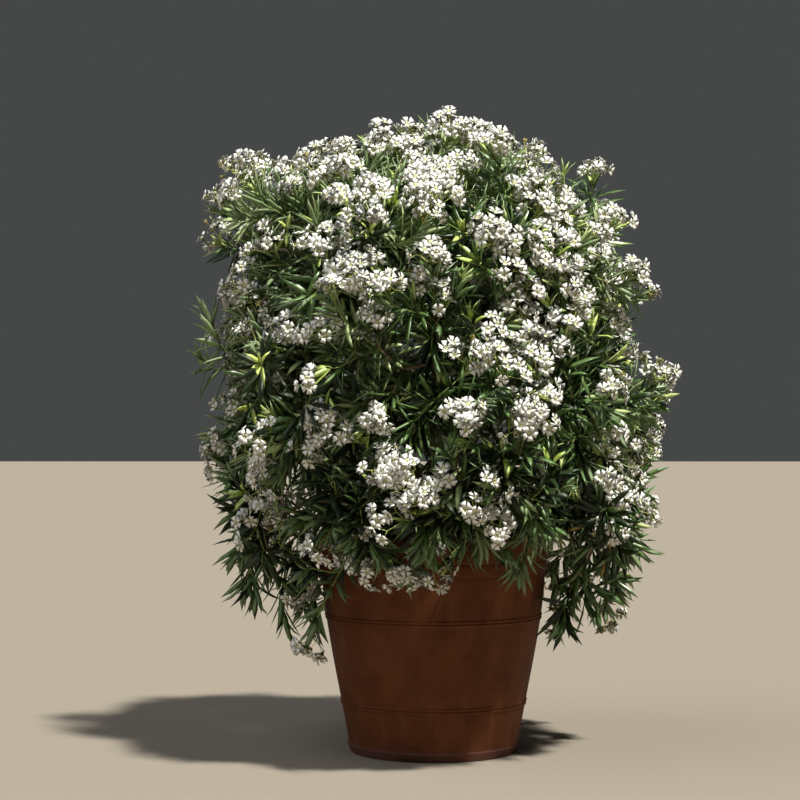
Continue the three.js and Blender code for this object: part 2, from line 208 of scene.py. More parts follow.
def selectOnly(active, *others):
    bpy.ops.object.select_all(action="DESELECT")
    for piece in (active, *others):
        piece.select_set(True)
    bpy.context.view_layer.objects.active = active


def turnedPiece(name, profile, segments):
    # A ring drawn out level by level along the profile, closed at both ends
    bpy.ops.object.select_all(action="DESELECT")
    radius, height = profile[0]
    bpy.ops.mesh.primitive_circle_add(vertices=segments, radius=radius, fill_type="NOTHING")
    piece = bpy.context.object
    piece.name = piece.data.name = name
    bpy.ops.object.mode_set(mode="EDIT")
    bpy.ops.mesh.select_all(action="SELECT")
    bpy.ops.transform.translate(value=(0, 0, height))
    for newRadius, newHeight in profile[1:]:
        bpy.ops.mesh.extrude_edges_move(TRANSFORM_OT_translate={"value": (0, 0, newHeight - height)})
        share = newRadius / radius
        bpy.ops.transform.resize(value=(share, share, 1), center_override=(0, 0, newHeight))
        radius, height = newRadius, newHeight
    bpy.ops.mesh.merge(type="CENTER")
    bpy.ops.mesh.select_all(action="DESELECT")
    bpy.ops.mesh.select_non_manifold(extend=False)
    bpy.ops.mesh.edge_face_add()
    bpy.ops.mesh.poke()
    bpy.ops.mesh.select_all(action="SELECT")
    bpy.ops.mesh.remove_doubles(threshold=0.00001)
    bpy.ops.mesh.normals_make_consistent(inside=False)
    bpy.ops.object.mode_set(mode="OBJECT")
    return piece


def joinedPiece(name, points, faces, looks):
    mesh = bpy.data.meshes.new(name)
    mesh.from_pydata(points, [], faces, shade_flat=False)
    mesh.polygons.foreach_set("material_index", np.asarray(looks, dtype=np.int32))
    return newObject(name, mesh)


def repeated(template, points, looks):
    # The template's faces for each row of points, with each copy's own look for each face
    copies, own = points.shape[:2]
    faces = [[corner + own * copy for corner in face] for copy in range(copies) for face in template]
    return points.reshape(-1, 3), faces, looks.ravel()


def tabled(rows):
    return {key: np.array([row[key] for row in rows]) for key in rows[0]}


def chosen(table, mask):
    return {key: values[mask] for key, values in table.items()}


# The points off the wall's own curve are pairs of radius and height
pot = {
    "height": 0.8, "segments": 128,
    "wallBottom": 0.033, "wallTop": 0.668, "wallFoot": 0.316, "wallNeck": 0.418, "fullness": 0.66,
    "levels": ((0.04, *np.linspace(0.06, 0.165, 6)), np.linspace(0.205, 0.48, 14),
               np.linspace(0.52, 0.66, 8)),
    "beadHeights": (0.184, 0.5), "beadProud": 0.004, "beadPitch": 0.012, "beadRound": 0.75,
    "rim": 0.433, "rimRound": 0.008,
    "floor": 0.035, "innerFoot": 0.285, "mouth": 0.398, "innerLevels": (0.77, 0.74, 0.6, 0.4, 0.2, 0.035),
    "wobble": {"most": 0.0009, "wide": 3.1, "tall": 4.2, "above": 0.02, "beyond": 0.25},  # thrown by hand
    "footBand": ((0.18, 0), (0.3085, 0), (0.3112, 0.0015), (0.32, 0.027), (0.321, 0.0295), (0.3202, 0.032),
                 (0.3166, 0.0338)),
    # the collar overhangs the neck, with a fine groove in the middle of it
    "collar": ((0.4165, 0.6668), (0.423, 0.6675), (0.426, 0.6695), (0.427, 0.674), (0.4272, 0.7),
               (0.427, 0.7085), (0.4248, 0.7115), (0.4248, 0.7135), (0.4308, 0.7155), (0.4326, 0.718),
               (0.433, 0.722), (0.433, 0.76), (0.4328, 0.792)),
    "lip": ((0.408, 0.8), (0.401, 0.799), (0.398, 0.795)),
    "floorRings": (0.15, 0.02),
}


def wallRadius(height):
    t = (height - pot["wallBottom"]) / (pot["wallTop"] - pot["wallBottom"])
    return pot["wallFoot"] + (pot["wallNeck"] - pot["wallFoot"]) * (t + pot["fullness"] * t * t * (1 - t))


def innerRadius(height):
    share = (height - pot["floor"]) / (pot["height"] - pot["floor"])
    return pot["innerFoot"] + (pot["mouth"] - pot["innerFoot"]) * share


def beadProfile(height):
    # Two half-round beads side by side
    points = []
    for step in range(-8, 9):
        swell = abs(math.sin(math.pi * step / 8)) ** pot["beadRound"]
        z = height + pot["beadPitch"] * step / 8
        points.append((wallRadius(z) + pot["beadProud"] * swell, z))
    return points


def potProfile():
    # Up the outside, over the rim and down the inside
    points = list(pot["footBand"])
    for levels, bead in zip(pot["levels"], (*pot["beadHeights"], None)):
        points += [(wallRadius(z), z) for z in levels]
        points += beadProfile(bead) if bead else []
    points += pot["collar"]
    turn, rim, top = pot["rimRound"], pot["rim"], pot["height"]
    for angle in np.radians((18, 36, 54, 72, 90)):
        points.append((rim - turn * (1 - math.cos(angle)), top - turn * (1 - math.sin(angle))))
    points += pot["lip"]
    points += [(innerRadius(z), z) for z in pot["innerLevels"]]
    return points + [(radius, pot["floor"]) for radius in pot["floorRings"]]


def makePot():
    piece = turnedPiece("pot_thrown", potProfile(), pot["segments"])
    wobble = pot["wobble"]
    wide, tall = wobble["wide"], wobble["tall"]
    for vertex in piece.data.vertices:
        place = vertex.co
        out = Vector((place.x, place.y, 0))
        if place.z > wobble["above"] and out.length > wobble["beyond"]:
            lean = noise.noise(Vector((place.x * wide, place.y * wide, place.z * tall + 7)))
            vertex.co = place + out.normalized() * lean * wobble["most"]
    bpy.ops.object.shade_smooth_by_angle(angle=math.radians(42))
    return finishPiece(piece, ["pot"], [firedTerracotta()])


soil = {
    "top": 0.745, "wallGap": 0.001, "edgeDrop": 0.012, "dish": 0.008, "bottom": 0.15,
    "segments": 96, "rings": 22, "relief": 0.011, "highest": 0.004,
    "clods": {"share": 0.55, "pace": 9}, "crumbs": {"share": 0.45, "pace": 70},
}


def makeSoil():
    low, top, gap, rings = pot["floor"] + seatGap, soil["top"], soil["wallGap"], soil["rings"]
    edge = innerRadius(top) - gap
    profile = [(soil["bottom"], low), (innerRadius(low) - gap, low), (innerRadius(0.4) - gap, 0.4),
               (edge, top - soil["edgeDrop"])]
    profile += [(edge * (1 - step / rings), top - soil["dish"]) for step in range(1, rings)]
    piece = turnedPiece("soil_heaped", profile, soil["segments"])
    clods, crumbs = soil["clods"], soil["crumbs"]
    for vertex in piece.data.vertices:
        place = vertex.co
        if place.z > top - soil["relief"]:
            broad = noise.fractal(Vector((place.x, place.y, 0.3)) * clods["pace"], 1.0, 2.0, 3)
            fine = noise.noise(Vector((place.x, place.y, 0.9)) * crumbs["pace"])
            lift = soil["relief"] * (clods["share"] * broad + crumbs["share"] * fine)
            vertex.co.z = min(top + soil["highest"], place.z + lift)
    bpy.ops.object.shade_smooth_by_angle(angle=math.radians(60))
    return finishPiece(piece, ["soil"], [pottingCompost()])


# The rule that the solids grew by, carried on to finer twigs
trunk = {
    "foot": 0.1, "waist": 0.066, "head": 0.086, "seat": 0.079,
    "waistHeight": 0.045, "headHeight": 0.095, "flareLobes": 5, "flare": 0.12, "lean": 0.05,
    "rooted": 0.01, "rootRadius": 0.05,
    "headFit": 0.97, "sides": 60, "ridges": 17, "ridgeDepth": 0.022,
}
# "turn" and "seat" are degrees round and down the trunk's head, "stagger" how much the heights vary, "end" a
# bough's radius, height and rise in degrees, and "heart" the middle of its mass
tierKeys = ("name", "count", "turn", "seat", "base", "tip", "stagger", "end", "heart")
tiers = [dict(zip(tierKeys, row)) for row in (
    ("top", 1, 0, 0, 0.015, 0.01, 0, (0.025, 1.64, 88), (0.03, 1.99)),
    ("shoulder", 5, 18, 33, 0.014, 0.009, 0.07, (0.29, 1.48, 58), (0.45, 1.79)),
    ("middle", 7, 13, 64, 0.013, 0.009, 0.11, (0.37, 1.15, 32), (0.58, 1.31)),
    ("skirt", 7, 32, 93, 0.012, 0.008, 0.06, (0.425, 0.935, 4), (0.62, 0.83)),
)]
boughSteps = 25
headCentre = Vector((trunk["lean"] * trunk["headHeight"], 0, soil["top"] + seatGap + trunk["headHeight"]))
massNames = [f"{tier['name']}_{i + 1}" for tier in tiers for i in range(tier["count"])]
foliageNodes = ["foliage_" + name for name in massNames]


def boughPlans():
    plans = []
    for tier in tiers:
        for i in range(tier["count"]):
            angle = math.radians(tier["turn"] + 360 * i / tier["count"])
            seat, rise = math.radians(tier["seat"]), math.radians(tier["end"][2])
            out = around(math.sin(seat), angle, math.cos(seat))
            start = headCentre + out * (trunk["seat"] + seatGap)
            lift = tier["stagger"] * math.sin(goldenAngle * (i + 1))
            end = around(tier["end"][0], angle, tier["end"][1] + lift / 2)
            along = around(math.cos(rise), angle, math.sin(rise))
            reach = (end - start).length / 3
            plans.append({
                "base": tier["base"], "tip": tier["tip"], "out": out, "along": along,
                "start": start, "end": end,
                "curve": interpolate_bezier(start, start + out * reach, end - along * reach, end, boughSteps),
                "heart": around(tier["heart"][0], angle, tier["heart"][1] + lift),
            })
    return plans


crown = {
    "top": 2.38, "widest": 1.25, "bottom": 0.335, "frontBottom": 0.575, "radius": 0.905,
    "roundLeft": 3, "roundRight": 2.15, "roundBelow": 4, "frontEdge": 0.6, "frontSoftness": 0.22,
    "core": 0.2,  # so near its middle a point is never drawn past it
}
growth = {
    "shoots": 1000,
    "depth": 0.09,  # of the tips under the crown's outline
    "raggedness": 0.06,
    "lump": {"depth": 0.15, "across": 0.34, "level": 0.35},  # hollows between the boughs' ends
    "dents": (((-0.5, 0, 2.3), 0.36, 0.12), ((-0.3, 0, 2.4), 0.36, 0.05), ((0.5, 0, 2.25), 0.3, 0.1),
              ((0.22, 0, 2.38), 0.22, 0.04), ((0.88, 0, 1.68), 0.42, 0.11), ((0.72, 0, 1.95), 0.35, 0.05)),
    # shoots that stand out, and shoots that end deep in the crown
    "leaders": {"share": 0.13, "low": 1.3, "high": 2.2, "depth": 0.035, "spread": 0.03},
    "inner": {"share": 0.15, "depth": 0.14, "spread": 0.18},
    "longShoots": ((-0.79, 0.02, 2.03), (-0.7, -0.06, 2.13), (-0.64, 0.05, 2.14), (0.6, -0.03, 2.13),
                   (0, 0.02, 2.31), (0.35, -0.02, 2.2), (-0.43, -0.33, 0.47), (-0.08, -0.52, 0.69),
                   (0.3, -0.48, 0.7)),
    "sparse": {"share": 0.45, "level": 0.98, "spread": 0.35},  # fewer shoots at the crown's foot
    "room": 0.1,  # how far a long shoot may pass the outline
    "past": 0.018,  # and anything the solids' own box
    "freeDepth": 0.036,  # a tip nearer the outline than this stands free of the rest
    "rise": {"most": 1.2, "level": 0.95, "spread": 0.6, "least": -0.5},  # shoots bend up, and hang low down
    "branchShare": 0.45,
    "stand": 0.06,  # a bough goes on straight for this long into its mass
    "clearance": 0.004, "halfWidth": 0.003, "potRoom": 0.012,
    "tipTwig": 0.0024,  # radius of a shoot; a twig that feeds n of them is thicker by n ** thickening
    "thickening": 0.42,
}


def crownBottom(angle):
    front = np.clip((-np.sin(angle) - crown["frontEdge"]) / crown["frontSoftness"], 0, 1)
    return crown["bottom"] + (crown["frontBottom"] - crown["bottom"]) * front


def crownRadius(height, angle):
    widest = crown["widest"]
    above = height > widest
    span = np.where(above, crown["top"] - widest, widest - crownBottom(angle))
    lean = (1 + np.cos(angle)) / 2
    sides = crown["roundLeft"] + (crown["roundRight"] - crown["roundLeft"]) * lean
    roundness = np.where(above, sides, crown["roundBelow"])
    t = np.minimum(1, np.abs(height - widest) / span)
    return crown["radius"] * (1 - t ** roundness) ** (1 / roundness)


def inCrown(points, room=0.0):
    # Each point is first drawn in towards the crown's middle by its room
    middle = np.array([0, 0, crown["widest"]])
    out = np.atleast_2d(points) - middle
    far = np.maximum(crown["core"], np.linalg.norm(out, axis=1))
    points = middle + out * (1 - room / far)[:, None]
    angle = np.arctan2(points[:, 1], points[:, 0])
    far = np.hypot(points[:, 0], points[:, 1])
    return (far < crownRadius(points[:, 2], angle)) & (points[:, 2] < crown["top"])


def withinReach(points):
    low, high = np.array(cadBox) + [[-growth["past"]], [growth["past"]]]
    return ((points > low) & (points < high)).all(axis=1)


def clearOfPot(points, room):
    far = np.hypot(points[:, 0], points[:, 1])
    return (points[:, 2] > pot["height"] + room) | (far > pot["rim"] + room)


def inOwnSpace(points, plan, hearts):
    # Nearer to its own mass's heart than to any other
    others = np.delete(hearts, plan, axis=0)
    own = ((points - hearts[plan]) ** 2).sum(axis=1)[:, None]
    past = ((points[:, None] - others) ** 2).sum(axis=2) - own
    apart = np.linalg.norm(others - hearts[plan], axis=1)
    return (past / (2 * apart) > growth["clearance"]).all(axis=1)


def lineFits(start, end, space):
    # space is a mass's number, all the hearts, and the boughs' points and thicknesses
    plan, hearts, middles, widths = space
    start, end = np.array(start), np.array(end)
    steps = np.linspace(0, 1, 9)[:, None]
    line = start * (1 - steps) + end * steps
    inside = inCrown(line, growth["room"]) & clearOfPot(line, growth["potRoom"])
    if not (inside & inOwnSpace(line, plan, hearts)).all():
        return False
    across = end - start
    share = np.clip(((middles - start) @ across) / (across @ across), 0, 1)
    gaps = np.linalg.norm(start + share[:, None] * across - middles, axis=1)
    return bool((gaps > widths + growth["halfWidth"] + growth["clearance"]).all())


def tipsOnCrown(count):
    # Tips spread evenly over the crown's outline, then set under it by the values of growth
    steps, widest, span = 400, crown["widest"], crown["widest"] - crown["bottom"]
    heights = crown["top"] - (crown["top"] - crown["bottom"]) * np.arange(0, steps + 1) / steps
    radii = crownRadius(heights, np.full(steps + 1, math.pi / 2))
    radii[0] = 0
    stretch = np.hypot(np.diff(radii), np.diff(heights))
    areas = np.cumsum(stretch * (radii[1:] + radii[:-1]))
    lump, leaders, inner, sparse = (growth[key] for key in ("lump", "leaders", "inner", "sparse"))
    draw = seeded(count)
    tips = []
    for i in range(count):
        wanted = areas[-1] * (i + 0.5) / count
        angle = i * goldenAngle
        depth = growth["depth"] + growth["raggedness"] * draw()
        chance = draw()
        height = float(heights[1 + int(np.searchsorted(areas, wanted))])
        if height < widest:
            height = widest - (widest - height) * (widest - float(crownBottom(angle))) / span
        outline = around(float(crownRadius(height, angle)), angle, height)
        inward = (Vector((0, 0, widest)) - outline).normalized()
        missing = sparse["share"] * clamp((sparse["level"] - height) / sparse["spread"])
        if leaders["share"] < chance < leaders["share"] + missing:
            continue
        depth += lump["depth"] * max(0, lump["level"] + noise.noise(outline / lump["across"]))
        if chance < leaders["share"] and leaders["low"] < height < leaders["high"]:
            depth = leaders["depth"] + leaders["spread"] * draw()
        if chance > 1 - inner["share"]:
            depth += inner["depth"] + inner["spread"] * draw()
        for place, across, most in growth["dents"]:
            depth += most * max(0, 1 - (outline - Vector(place)).length / across)
        tips.append(outline + inward * depth)
    return tips + [Vector(place) for place in growth["longShoots"]]


def splay(direction, angle, spread):
    steady = Vector((1, 0, 0)) if abs(direction.z) > 0.9 else up
    side = direction.cross(steady).normalized()
    side.rotate(Quaternion(direction, angle))
    return direction * math.cos(spread) + side * math.sin(spread)


def addBranch(made, start, heading, tips, space):
    # A twig runs part of the way to the middle of the tips that it feeds, then forks in two or three
    if not tips:
        return
    middle = sum(tips, Vector()) / len(tips)
    end = tips[0] if len(tips) == 1 else start.lerp(middle, growth["branchShare"])
    if not lineFits(start, end, space):
        return
    axis = (end - start).normalized()
    bend = growth["rise"]
    rise = bend["most"] * clamp((end.z - bend["level"]) / bend["spread"], bend["least"])
    rise = rise if len(tips) == 1 else 0
    made.append({"start": start, "end": end, "feeds": len(tips), "leave": (heading + axis).normalized(),
                 "axis": (axis + up * rise).normalized(),
                 "thick": growth["tipTwig"] * len(tips) ** growth["thickening"],
                 "free": not inCrown(end, -growth["freeDepth"])[0]})
    if len(tips) == 1:
        return
    zero, quarter = splay(axis, 0, math.pi / 2), splay(axis, math.pi / 2, math.pi / 2)
    ordered = sorted(tips, key=lambda tip: math.atan2((tip - end).dot(quarter), (tip - end).dot(zero)))
    ways = min(len(ordered), 2 if len(ordered) == 4 else 3)
    cuts = [round(len(ordered) * i / ways + 1e-9) for i in range(ways + 1)]  # a half is rounded up
    for first, last in zip(cuts, cuts[1:]):
        addBranch(made, end, axis, ordered[first:last], space)


def twigPath(twig, steps):
    # It leaves along its parent's heading and bends over to its own
    start, end = twig["start"], twig["end"]
    reach = (end - start).length / 3
    return interpolate_bezier(start, start + twig["leave"] * reach, end - twig["axis"] * reach, end, steps)


def ringsAlong(paths, radii, sides):
    # Closed tubes, one for each path and its radii
    paths, radii = np.asarray(paths, dtype=float), np.asarray(radii, dtype=float)
    copies, steps = radii.shape
    along, chord = unit(np.gradient(paths, axis=1)), unit(paths[:, -1] - paths[:, 0])
    steady = np.where(np.abs(chord[:, 2:3]) > 0.7, [[1.0, 0, 0]], [[0, 0, 1.0]])
    first = unit(np.cross(along, steady[:, None, :]))
    second = np.cross(along, first)
    turns = math.tau * np.arange(sides) / sides
    ring = first[:, :, None] * np.cos(turns)[:, None] + second[:, :, None] * np.sin(turns)[:, None]
    points = paths[:, :, None] + ring * radii[:, :, None, None]
    faces = []
    for low in range(0, (steps - 1) * sides, sides):
        for side in range(sides):
            other, high = (side + 1) % sides, low + sides
            faces.append((low + side, low + other, high + other, high + side))
    faces.append(tuple(reversed(range(sides))))
    faces.append(tuple(range((steps - 1) * sides, steps * sides)))
    return faces, points.reshape(copies, steps * sides, 3)


boughLook = {
    "sunk": 0.03, "innerSteps": 12, "kneeShare": 0.4,  # each goes into the head and on to its mass's heart
    "baseFit": 1.05, "tipFit": 0.85, "collar": 0.5, "collarSteps": 1.6, "uneven": 0.07, "pace": 11,
    "barkGrain": 0.02, "barkRelief": 0.004,
}


def makeStump():
    profile = [(trunk["rootRadius"], soil["top"] - trunk["rooted"])]
    for step in range(7):
        t = step / 6
        radius = trunk["waist"] + (trunk["foot"] - trunk["waist"]) * (1 - t) ** 2
        profile.append((radius, soil["top"] + 0.001 + trunk["waistHeight"] * t))
    head = trunk["head"] * trunk["headFit"]
    for step in range(1, 12):
        t = 0.6 * math.pi * (1 - step / 12)
        profile.append((head * math.sin(t), headCentre.z + head * math.cos(t)))
    stump = turnedPiece("limbs_barked", profile, trunk["sides"])
    for vertex in stump.data.vertices:
        place = vertex.co
        z = place.z - soil["top"]
        low = max(0, 1 - z / trunk["waistHeight"])
        angle = math.atan2(place.y, place.x)
        flare = 1 + trunk["flare"] * low * math.cos(trunk["flareLobes"] * angle)
        ridge = 1 + trunk["ridgeDepth"] * math.sin(trunk["ridges"] * angle + 3 * noise.noise(place * 14))
        vertex.co = (place.x * flare * ridge + trunk["lean"] * z, place.y * flare * ridge, place.z)
    return stump


def makeBoughs(plans):
    curve = bpy.data.curves.new("boughs", "CURVE")
    curve.dimensions = "3D"
    curve.bevel_depth = 1.0
    curve.bevel_resolution = 4
    curve.use_fill_caps = True
    for plan in plans:
        heart = plan["heart"]
        knee = plan["end"] + plan["along"] * growth["stand"]
        inner = interpolate_bezier(plan["end"], knee, knee.lerp(heart, boughLook["kneeShare"]), heart,
                                   boughLook["innerSteps"])
        path = [plan["start"] - plan["out"] * boughLook["sunk"]] + list(plan["curve"]) + inner[1:]
        spline = curve.splines.new("POLY")
        spline.points.add(len(path) - 1)
        for i, place in enumerate(path):
            t = i / (len(path) - 1)
            radius = plan["base"] * boughLook["baseFit"] * (1 - t) + plan["tip"] * boughLook["tipFit"] * t
            radius *= 1 + boughLook["collar"] * math.exp(-i / boughLook["collarSteps"])
            radius *= 1 + boughLook["uneven"] * noise.noise(place * boughLook["pace"])
            spline.points[i].co = (*place, 1)
            spline.points[i].radius = radius
    boughs = newObject("boughs", curve)
    selectOnly(boughs)
    bpy.ops.object.convert(target="MESH")
    return boughs


def makeLimbs(plans):
    # The trunk and the boughs as one mesh with the bark's relief
    limbs = makeStump()
    selectOnly(limbs, makeBoughs(plans))
    bpy.ops.object.join()
    bark = bpy.data.textures.new("barkRelief", "CLOUDS")
    bark.noise_scale = boughLook["barkGrain"]
    relief = limbs.modifiers.new("relief", "DISPLACE")
    relief.texture = bark
    relief.texture_coords = "LOCAL"
    relief.strength = boughLook["barkRelief"]
    relief.mid_level = 0.5
    bpy.ops.object.modifier_apply(modifier=relief.name)
    bpy.ops.object.shade_smooth()
    return finishPiece(limbs, ["trunk"] + ["bough_" + name for name in massNames], [oleanderBark()])


twigLook = {
    "steps": 6, "sides": 5, "shootTaper": 0.8, "twigTaper": 0.88,
    "older": 3,  # a twig that feeds more shoots than this has bark; next come ripening twigs, then shoots
    # smooth bark that turns from a waxy green to a dull brown, with its roughness
    "tones": (("olderTwig", "#94836a", 0.8), ("ripeningTwig", "#8f8759", 0.65),
              ("greenShoot", "#98ac57", 0.5)),
}


def makeTwigs(twigs):
    paths, radii, ages = [], [], []
    for twig in twigs:
        steps, feeds, thick = twigLook["steps"], twig["feeds"], twig["thick"]
        finer = thick * twigLook["shootTaper" if feeds == 1 else "twigTaper"]
        paths.append([list(place) for place in twigPath(twig, steps)])
        radii.append(np.linspace(thick, finer, steps))
        ages.append(0 if feeds > twigLook["older"] else 1 if feeds > 1 else 2)
    faces, points = ringsAlong(paths, radii, twigLook["sides"])
    looks = np.repeat(np.array(ages)[:, None], len(faces), axis=1)
    piece = joinedPiece("twigs_branching", *repeated(faces, points, looks))
    return finishPiece(piece, foliageNodes, [plainFinish(*tone) for tone in twigLook["tones"]])


foliage = {
    "length": 0.142, "lengths": (0.84, 1.12), "width": 0.017, "widths": (0.85, 1.15), "thickness": 0.0014,
    "fold": 0.28, "bend": (0.28, 0.25), "sway": 0.16,
    "lowWidth": 0.4,  # leaves in the shade at the foot of the crown are so much broader
    "firstLength": 0.6, "nextLength": 0.14, "oldLength": 0.96,  # of a shoot's whorls from its tip back
    "youngWidth": 0.25,  # and so much narrower
    "leafy": 0.95,  # share of a twig that has leaves
    "youngWhorls": 2, "twist": 0.2,
    "stations": ((0.32, 0.95), (0.68, 0.86)),  # share of the length, share of the width
    "whorlStep": 0.017, "whorlSteps": (0.85, 1.2), "whorls": 11, "twigWhorls": 10, "leavesInWhorl": 3,
    "fallen": 0.05, "fallenLow": 0.4, "underTruss": 0.018, "underTip": 0.004,
    "most": 36,  # leaves stand on twigs that feed up to this many shoots
    "opening": {"first": 18, "next": 6.5, "old": 60, "scatter": 15, "most": 100},  # degrees from the shoot
    "droop": (0.9, 0.08),  # how far a leaf hangs at the foot of the crown, and stands up at its top
    "droops": (0.4, 1.2),
    "lowest": 0.6, "span": 1.4,  # of the heights over which leaves change
    "room": 0.016,  # how far a leaf's tip may stand out of the outline
    "midRoom": 0.006,  # how near its middle may come to the pot
    "scales": (1.0, 0.8, 0.62), "leans": (0.0, 0.42, -0.42, 0.8),  # tried in turn where there is no room
    "potFront": {"edge": 0.64, "radius": 0.62, "bottom": 0.56},  # kept clear, so that the pot shows
    "yellowed": 0.002,
    # share of the shoots with this tone at the foot of the crown, and how much less at its top: the deep
    # tone, older leaves' own dark green, is dealt more low down as painted shade, and what the middle share
    # leaves goes to the painted sheen tone, more of it at the top
    "deep": (0.9, 0.62), "middle": (0.97, 0.25),
    "sun": {"lowest": 0.8, "span": 1.3, "most": 0.55, "side": 0.15},  # painted sunlight on a shoot's youngest leaves, more towards the top and the +X side, from which the key light shines
    # share of the shoots whose youngest leaves keep a light tone, and how much more for each step of painted
    # sunlight; lime, the lightest, goes to this share of the sunlight
    "fresh": (0.15, 1.4), "lime": 0.5,
    # leathery leaves with a waxy skin, glossy above and dull below, each with its roughness and shine
    "tones": (
        # the deep tone is older leaves' own dark green and also painted shade at the crown's foot; the pale
        # grey-green tone is a painted sheen of light on glossy leaves
        ("deepLeaf", "#1c2e0b", 0.45, 0.5), ("middleLeaf", "#567539", 0.42, 0.9),
        ("greyLeaf", "#a5b87a", 0.4, 1.0), ("freshLeaf", "#a6bd56", 0.44, 1.0),
        # the fresh tone above and the lime tone here are young leaves' own yellow-green, lightened further as
        # painted sunlight glowing through them
        ("limeLeaf", "#c3d46e", 0.44, 1.0), ("yellowedLeaf", "#a8883c", 0.5, 0.6),
        ("paleUnderside", "#788c5e", 0.58, 0.6), ("freshUnderside", "#b0bf7c", 0.55, 0.6),
    ),
}


# Corners of a leaf's faces: 0 its root, 1 its tip, then for each station the left edge, the rib, the right
# edge and the rib's underside
leafUpper = ((0, 3, 2), (0, 4, 3), (2, 3, 7, 6), (3, 4, 8, 7), (6, 7, 1), (7, 8, 1))
leafLower = ((0, 2, 5), (0, 5, 4), (2, 6, 9, 5), (5, 9, 8, 4), (6, 1, 9), (9, 1, 8))


def leafPoints(leaves):
    # A leaf bends back over its length and sways to one side
    root, direction, facing = leaves["root"], leaves["direction"], leaves["facing"]
    across = np.cross(direction, facing)
    length, width, bend, sway = (leaves[key][:, None] for key in ("length", "width", "bend", "sway"))

    def at(share, sideways, lift):
        angle = bend * share
        ahead = length * np.sin(angle) / np.maximum(bend, 1e-4)
        down = length * (1 - np.cos(angle)) / np.maximum(bend, 1e-4)
        here = facing * np.cos(angle) + direction * np.sin(angle)
        aside = sideways * width / 2 + length * sway * share ** 2
        return root + direction * ahead - facing * down + across * aside + here * lift

    columns = [at(0, 0, 0), at(1, 0, 0)]
    for share, fill in foliage["stations"]:
        rise = width * fill * foliage["fold"] / 2
        columns += [at(share, -fill, rise), at(share, 0, 0), at(share, fill, rise),
                    at(share, 0, -foliage["thickness"])]
    return np.stack(columns, axis=1)


def leafTones(end, height, deal):
    # For a shoot's older and youngest leaves, by its place and its own deal from 0 to 1; by place the tones
    # paint shade low in the crown, and sheen and sunlight higher up and on the +X side
    deep, middle, fresh, sun = (foliage[key] for key in ("deep", "middle", "fresh", "sun"))
    # older leaves: painted sheen more often towards the top, and the deep tone, with its painted shade, more
    # often towards the foot
    old = "middleLeaf" if deal < middle[0] - middle[1] * height else "greyLeaf"
    old = "deepLeaf" if deal < deep[0] - deep[1] * height else old
    # painted sunlight: lighter young tones towards the top and the +X side
    sunlit = sun["most"] * clamp((end.z - sun["lowest"]) / sun["span"]) + sun["side"] * end.x
    young = "freshLeaf" if deal > foliage["lime"] * sunlit else "limeLeaf"
    young = "middleLeaf" if deal > fresh[0] + fresh[1] * sunlit else young
    return old, young


def leavesOn(twigs):
    # Whorls of three from the tip back, each turned half a step from the last
    rng = np.random.default_rng(7)
    opening, number = foliage["opening"], foliage["leavesInWhorl"]
    look = {tone[0]: i for i, tone in enumerate(foliage["tones"])}
    # deep leaves, darkened partly by painted shade, keep a darker underside too
    under = {"deepLeaf": "middleLeaf", "freshLeaf": "freshUnderside", "limeLeaf": "freshUnderside"}

    def within(key):
        return rng.uniform(*foliage[key])

    leaves = []
    for twig in twigs:
        if twig["feeds"] > foliage["most"]:
            continue
        shoot, end = twig["feeds"] == 1, twig["end"]
        span = (end - twig["start"]).length
        step = foliage["whorlStep"] * within("whorlSteps")
        bare = foliage["underTruss" if twig["blooms"] else "underTip"]
        most = foliage["whorls" if shoot else "twigWhorls"]
        count = max(0, min(most, int((foliage["leafy"] * span - bare) / step + 1)))
        path = twigPath(twig, 9)
        turn = rng.uniform(0, math.tau)
        deal = rng.random()
        height = clamp((end.z - foliage["lowest"]) / foliage["span"])
        hang = foliage["droop"][0] * (1 - height) - foliage["droop"][1]
        old, young = leafTones(end, height, deal)
        for whorl in range(count):
            place = (1 - (bare + whorl * step) / span) * 8
            low = min(7, int(place))
            at = path[low].lerp(path[low + 1], place - low)
            axis = (path[low + 1] - path[low]).normalized()
            tone = young if shoot and whorl < foliage["youngWhorls"] else old
            if rng.random() < foliage["yellowed"]:
                tone = "yellowedLeaf"
            tilt, grown = opening["old"], foliage["oldLength"]
            if shoot:
                tilt = opening["first"] + opening["next"] * whorl
                grown = min(1, foliage["firstLength"] + foliage["nextLength"] * whorl)
            broad = foliage["width"] * (1 - foliage["youngWidth"] * (1 - grown))
            broad *= 1 + foliage["lowWidth"] * (1 - height)
            for leaf in range(number):
                if rng.random() < foliage["fallen"] + foliage["fallenLow"] * (1 - height):
                    continue
                angle = turn + math.pi * (whorl + 2 * leaf) / number + rng.normal(0, foliage["twist"])
                leaves.append({
                    "root": at[:], "axis": axis[:], "side": splay(axis, angle, math.pi / 2)[:],
                    "spread": math.radians(min(opening["most"], tilt + rng.normal(0, opening["scatter"]))),
                    "length": foliage["length"] * grown * within("lengths"),
                    "width": broad * within("widths"),
                    "bend": abs(rng.normal(*foliage["bend"])) + 0.02,
                    "sway": rng.normal(0, foliage["sway"]),
                    "droop": hang * within("droops"),
                    "tone": look[tone], "under": look[under.get(tone, "paleUnderside")],
                    "room": growth["room"] if twig["free"] else foliage["room"],
                })
    return tabled(leaves)


def coversPot(points):
    window = foliage["potFront"]
    far = np.maximum(1e-6, np.hypot(points[:, 0], points[:, 1]))
    return ((points[:, 2] < window["bottom"]) & (far < window["radius"])
            & (-points[:, 1] / far > window["edge"]))


def aimed(rows, spread):
    # The way a leaf points and the way its upper side faces
    cosine, sine = np.cos(spread)[:, None], np.sin(spread)[:, None]
    direction = rows["axis"] * cosine + rows["side"] * sine
    direction[:, 2] -= rows["droop"]
    direction = unit(direction)
    facing = rows["axis"] * sine - rows["side"] * cosine
    return direction, unit(facing - direction * (facing * direction).sum(axis=1, keepdims=True))


